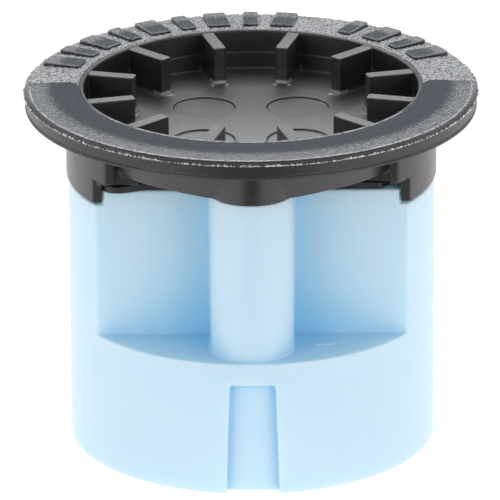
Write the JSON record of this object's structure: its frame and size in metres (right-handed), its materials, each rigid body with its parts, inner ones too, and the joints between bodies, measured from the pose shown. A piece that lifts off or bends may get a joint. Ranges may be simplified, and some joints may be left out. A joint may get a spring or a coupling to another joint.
{
  "type": "pop-up sprinkler spray nozzle",
  "caption": "Screw-on fixed-arc spray nozzle for a pop-up lawn sprinkler: a threaded light blue body under a black deflector cap with a ribbed dish and a wide flange.",
  "frame": {"origin": "centre of the threaded end's rim, where the nozzle stands", "axes": "+Z along the nozzle's axis towards the deflector cap, -Y towards the side that sprays"},
  "size_m": [0.0248, 0.0248, 0.0202],
  "materials": {
    "body_plastic": "satin moulded light blue",
    "plate_plastic": "matt moulded black",
    "cap_plastic": "moulded black, smooth at the front of the flange and pebbled at the back"
  },
  "bodies": {
    "root": {"nozzle_body": "body_plastic", "port_plate": "plate_plastic", "deflector_cap": "cap_plastic"}
  },
  "joints": []
}
